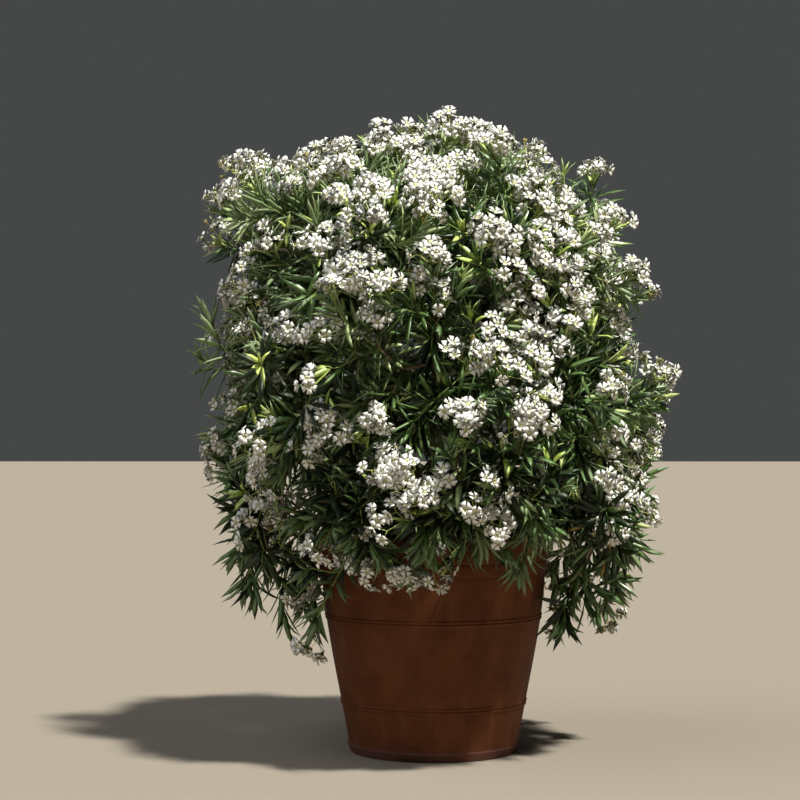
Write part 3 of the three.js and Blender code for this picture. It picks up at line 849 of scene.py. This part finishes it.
def fitted(rows):
    # A leaf takes the first length, and for it the first spread, that has room; else it is left out
    done = np.zeros(len(rows["root"]), dtype=bool)
    spread, length = rows["spread"].copy(), rows["length"].copy()
    for scale in foliage["scales"]:
        for lean in foliage["leans"]:
            trySpread, tryLength = rows["spread"] + lean, rows["length"] * scale
            along = aimed(rows, trySpread)[0] * tryLength[:, None]
            tip, middle = rows["root"] + along * 0.96, rows["root"] + along * 0.5
            fits = inCrown(tip, rows["room"]) & withinReach(tip) & ~done
            for place, room in ((tip, growth["potRoom"]), (middle, foliage["midRoom"])):
                fits &= clearOfPot(place, room) & ~coversPot(place)
            spread[fits], length[fits] = trySpread[fits], tryLength[fits]
            done |= fits
    kept = chosen({**rows, "length": length}, done)
    kept["direction"], kept["facing"] = aimed(kept, spread[done])
    return kept


def byHeight(kind, rows, places):
    # Three equal shares of the rows, from the lowest up, each with the name of its piece
    heights = places[:, 2]
    levels = np.searchsorted(np.quantile(heights, (1 / 3, 2 / 3)), heights)
    return [(f"{kind}_{name}", chosen(rows, levels == level))
            for level, name in enumerate(("low", "middle", "high"))]


def makeLeaves(name, leaves, tones):
    looks = np.stack((leaves["tone"], leaves["under"]), axis=1)
    looks = np.repeat(looks, (len(leafUpper), len(leafLower)), axis=1)
    piece = joinedPiece(name, *repeated(leafUpper + leafLower, leafPoints(leaves), looks))
    return finishPiece(piece, foliageNodes, tones)


blossom = {
    "scale": 0.052 / 0.045,  # an open flower is made 45 mm across and grows to about 52 mm
    "sizes": (0.86, 1.08), "budSizes": (0.7, 1.2), "spentSize": 0.6,
    "sprays": (4, 8), "flowers": (2, 5), "reach": (0.018, 0.085), "stalk": (0.01, 0.028),
    "trussSizes": (0.5, 1.1), "lowSize": 0.25, "lowFrom": 1.4, "lowSpan": 0.6,  # larger low down
    "node": 0.016, "tilts": ((0, 18), (30, 82)), "splay": (24, 80),  # the first spray is the middle one
    "lift": 0.3, "turn": 2.1, "turnScatter": 0.3, "deep": 0.018, "leastStalk": 0.002,
    "facing": {"away": 0.9, "lean": 0.35, "outward": 0.5, "scatter": 0.28},  # what a flower turns to
    "trussStalk": (0.0021, 0.0018), "sprayStalk": (0.0017, 0.0012), "flowerStalk": (0.0011, 0.0009),
    "budShare": 0.15, "greenBuds": 0.4, "spentShare": 0.03, "spentCup": (2.5, 4), "openCup": (-0.5, 1.1),
    "throat": 0.009, "cupLift": 0.45, "shutFrom": 1.2, "shut": 0.16,  # how a flower's petals lift and close
    "lowShare": 0.25, "highShare": 0.7, "lowest": 0.9, "span": 1.2, "sunnySide": 0.05, "freeShare": 0.25,
    "patch": {"across": 0.2, "share": 0.4},  # the trusses come in patches
    "room": 0.04, "potRoom": 0.02,
    # thin petals, matt and a little waxy, with their roughness
    "tones": (("whitePetal", "#ebeae2", 0.5), ("creamThroat", "#eceab4", 0.5), ("greenTube", "#cfd79a", 0.5),
              ("spentPetal", "#978d4c", 0.7)),
    "stalkTones": (("blossomStalk", "#bfca69", 0.5), ("whiteBud", "#f1f0d8", 0.5),
                   ("greenBud", "#c3cc7f", 0.5)),
}


def flowerTemplate():
    # A flower 45 mm across that faces +Z. Point 0 is its tube's foot, 1 the throat's floor, 2 to 6 the
    # notches; then each petal has three outer corners and its middle above
    petals = 5
    points = [(0, 0, 0), (0, 0, 9)]
    points += [around(6.5, math.radians(72 * k - 36), 17) for k in range(petals)]
    corners = ((-30, 13, 18.2), (-22, 22.5, 18.8), (27, 23, 21.6), (0, 10.5, 18.9))
    faces, looks = [], []
    for k in range(petals):
        p, q, r, above = range(len(points), len(points) + 4)
        points += [around(radius, math.radians(72 * k + turn), height) for turn, radius, height in corners]
        a, b = 2 + k, 2 + (k + 1) % petals
        faces += [(a, p, above), (p, q, above), (q, r, above), (r, b, above), (b, 1, above), (1, a, above)]
        looks += [0, 0, 0, 0, 1, 1]
        faces += [(p, a, b), (q, p, b), (r, q, b), (0, b, a)]
        looks += [0, 0, 0, 2]
    return np.array([place[:] for place in points]) / 1000, faces, np.array(looks)


def budTemplate():
    # A pointed bud 21 mm long and 5 mm thick, along +Z
    sides = 5
    points = [around(2.6, math.tau * turn / sides, 13)[:] for turn in range(sides)]
    faces = []
    for turn in range(sides):
        here, other = 1 + turn, 1 + (turn + 1) % sides
        faces += [(0, other, here), (sides + 1, here, other)]
    return np.array([(0, 0, 0), *points, (0, 0, 21)]) / 1000, faces


def chooseBlooming(twigs):
    # More of the shoots bloom towards the top and the sunny side
    draw = seeded(5)
    low, high, patch = blossom["lowShare"], blossom["highShare"], blossom["patch"]
    for twig in twigs:
        end = twig["end"]
        height = (end.z - blossom["lowest"]) / blossom["span"]
        share = low + (high - low) * clamp(height + blossom["sunnySide"] * end.x / crown["radius"])
        share += patch["share"] * noise.noise(end / patch["across"])
        share += blossom["freeShare"] if twig["free"] else 0
        twig["blooms"] = twig["feeds"] == 1 and draw() < share


def bloomsOn(twigs):
    # A truss on a shoot's tip has forked sprays of unequal length, each with a few flowers and buds
    rng = np.random.default_rng(11)

    def within(key):
        return rng.uniform(*blossom[key])

    facing, blooms, stalks = blossom["facing"], [], []
    for twig in twigs:
        if not twig["blooms"]:
            continue
        low = clamp((blossom["lowFrom"] - twig["end"].z) / blossom["lowSpan"])
        size = within("trussSizes") * (1 + blossom["lowSize"] * low)
        lean = (twig["axis"] + up * blossom["lift"]).normalized()
        node = twig["end"] + lean * blossom["node"]
        truss = len(stalks)
        stalks.append((twig["end"], node, *blossom["trussStalk"]))
        outward = Vector((node.x, node.y, 0)).normalized()
        turn = rng.uniform(0, math.tau)
        sprays = int(rng.integers(*blossom["sprays"]))
        for spray in range(sprays):
            tilt = rng.uniform(*blossom["tilts"][min(1, spray)])
            out = splay(lean, turn + spray * goldenAngle, math.radians(tilt))
            fork = node + out * within("reach") * size
            arm = len(stalks)
            stalks.append((node, fork, *blossom["sprayStalk"]))
            own = rng.uniform(0, math.tau)
            for k in range(int(rng.integers(*blossom["flowers"]))):
                side = own + k * blossom["turn"] + rng.normal(0, blossom["turnScatter"])
                away = splay(out, side, math.radians(within("splay")))
                foot = fork + away * within("stalk")
                face = away * facing["away"] + lean * facing["lean"] + outward * facing["outward"]
                face += Vector(rng.normal(0, facing["scatter"], 3))
                deal = rng.random()
                spent, bud = deal > 1 - blossom["spentShare"], deal < blossom["budShare"]
                stalks.append((fork, foot, *blossom["flowerStalk"]))
                blooms.append({
                    "foot": foot[:], "face": face.normalized()[:], "bud": bud, "spent": spent,
                    "stalks": (truss, arm, len(stalks) - 1),
                    "roll": rng.uniform(0, math.tau),
                    "cup": within("spentCup" if spent else "openCup"),
                    "size": (blossom["spentSize"] if spent else within("budSizes") if bud
                             else blossom["scale"] * within("sizes")),
                    "green": bud and rng.random() < blossom["greenBuds"],
                    "room": growth["room"] if twig["free"] else blossom["room"],
                })
    rows = tabled(blooms)
    centres = rows["foot"] + rows["face"] * blossom["deep"]
    held = inCrown(centres, rows["room"]) & withinReach(centres)
    held &= clearOfPot(centres, blossom["potRoom"]) & ~coversPot(centres)
    used = set(rows["stalks"][held].ravel())
    stalks = [stalk for i, stalk in enumerate(stalks) if i in used]
    return chosen(rows, held & ~rows["bud"]), chosen(rows, held & rows["bud"]), stalks


def spun(shape, rows):
    # The shape turned to each row's face and roll, at its foot
    face = rows["face"]
    steady = np.where(np.abs(face[:, 2:3]) > 0.8, [[1.0, 0, 0]], [[0, 0, 1.0]])
    first = unit(np.cross(face, steady))
    second = np.cross(face, first)
    cosine, sine = np.cos(rows["roll"])[:, None], np.sin(rows["roll"])[:, None]
    axes = np.stack((first * cosine + second * sine, second * cosine - first * sine, face), axis=1)
    return rows["foot"][:, None] + shape * rows["size"][:, None, None] @ axes


def makeBlossom(name, flowers, tones):
    template, faces, looks = flowerTemplate()
    shape = np.repeat(template[None], len(flowers["cup"]), axis=0)
    cup = flowers["cup"][:, None]
    far = np.maximum(0, np.hypot(shape[:, :, 0], shape[:, :, 1]) - blossom["throat"])
    shape[:, :, 2] += far * cup * blossom["cupLift"]
    shut = np.maximum(0, cup - blossom["shutFrom"]) * blossom["shut"] * (far > 0)
    shape[:, :, :2] *= 1 - shut[:, :, None]
    faceLooks = np.where(flowers["spent"][:, None], len(tones) - 1, looks[None])
    piece = joinedPiece(name, *repeated(faces, spun(shape, flowers), faceLooks))
    return finishPiece(piece, foliageNodes, tones)


def makeStalks(stalks, buds):
    kept = [stalk for stalk in stalks if (stalk[1] - stalk[0]).length > blossom["leastStalk"]]
    faces, points = ringsAlong([[list(start), list(end)] for start, end, _, _ in kept],
                               [(thick, thin) for _, _, thick, thin in kept], 3)
    points, faces, looks = repeated(faces, points, np.zeros((len(points), len(faces)), dtype=int))
    template, budFaces = budTemplate()
    budLooks = np.repeat(buds["green"][:, None] + 1, len(budFaces), axis=1)
    budPoints, budFaces, budLooks = repeated(budFaces, spun(template[None], buds), budLooks)
    faces += [[corner + len(points) for corner in face] for face in budFaces]
    piece = joinedPiece("stalks_and_buds", np.concatenate((points, budPoints)), faces,
                        np.concatenate((looks, budLooks)))
    tones = [plainFinish(*tone) for tone in blossom["stalkTones"]]
    return finishPiece(piece, foliageNodes, tones)


studio = {
    "floorSize": 240, "floorColour": "#8a8173", "skyColour": "#dce1e0", "skyStrength": 0.085,
    "lamps": {
        "keyLight": {"power": 6.0, "softness": 4, "towards": (0.36, -0.38, 1), "colour": "#fffdf7"},
        "fillLight": {"power": 1.2, "softness": 50, "towards": (-0.7, -0.35, 1), "colour": "#f1f4fb"},
    },
}


def makeStudio():
    bpy.ops.object.select_all(action="DESELECT")
    bpy.ops.mesh.primitive_plane_add(size=studio["floorSize"])
    floor = bpy.context.object
    floor.name = "studio_floor"
    floor.data.materials.append(plainFinish("paleFloor", studio["floorColour"], 0.9))
    floor.location.z = -0.0005  # just under the pot's foot
    world = bpy.data.worlds.new("softSky")
    world.use_nodes = True
    sky = world.node_tree.nodes["Background"]
    sky.inputs["Color"].default_value = linear(studio["skyColour"])
    sky.inputs["Strength"].default_value = studio["skyStrength"]
    bpy.context.scene.world = world
    for name, values in studio["lamps"].items():
        light = bpy.data.lights.new(name, "SUN")
        light.energy = values["power"]
        light.angle = math.radians(values["softness"])
        light.color = linear(values["colour"])[:3]
        newObject(name, light).rotation_euler = Vector(values["towards"]).to_track_quat("Z", "Y").to_euler()


view = {"distance": 6.94, "height": 1.135, "up": 1.39, "left": 1.03, "lens": 83.25, "sensor": 36}


def makeCamera():
    camera = bpy.data.cameras.new("photoCamera")
    camera.lens = view["lens"]
    camera.sensor_width = view["sensor"]
    holder = newObject("photoCamera", camera)
    holder.location = (0, -view["distance"], view["height"])
    holder.rotation_euler = (math.radians(90 + view["up"]), 0, math.radians(view["left"]))
    bpy.context.scene.camera = holder


makeCamera()
makeStudio()
bpy.context.scene.view_settings.view_transform = "Standard"
print("camera and studio made")
makePot()
makeSoil()
print("pot and soil made")

plans = boughPlans()
hearts = np.array([plan["heart"][:] for plan in plans])
middles = np.array([place[:] for plan in plans for place in plan["curve"]])
widths = np.repeat([plan["base"] for plan in plans], boughSteps)
tips = tipsOnCrown(growth["shoots"])
owners = [int(np.argmin(((hearts - np.array(tip[:])) ** 2).sum(axis=1))) for tip in tips]
twigs = []
for index, plan in enumerate(plans):
    own = [tip for tip, owner in zip(tips, owners) if owner == index]
    before = (plan["heart"] - (plan["end"] + plan["along"] * growth["stand"])).normalized()
    addBranch(twigs, plan["heart"], before, own, (index, hearts, middles, widths))
print(len(twigs), "twigs,", sum(twig["feeds"] == 1 for twig in twigs), "shoots")

chooseBlooming(twigs)
makeLimbs(plans)
makeTwigs(twigs)
print("limbs and twigs made")

leaves = fitted(leavesOn(twigs))
leafFinishes = [plainFinish(*tone) for tone in foliage["tones"]]
for name, part in byHeight("leaves", leaves, leaves["root"]):
    makeLeaves(name, part, leafFinishes)
print(len(leaves["root"]), "leaves")

flowers, buds, stalks = bloomsOn(twigs)
petalFinishes = [plainFinish(*tone) for tone in blossom["tones"]]
for name, part in byHeight("blossom", flowers, flowers["foot"]):
    makeBlossom(name, part, petalFinishes)
makeStalks(stalks, buds)
print(len(flowers["foot"]), "flowers,", len(buds["foot"]), "buds,", len(stalks), "stalks")
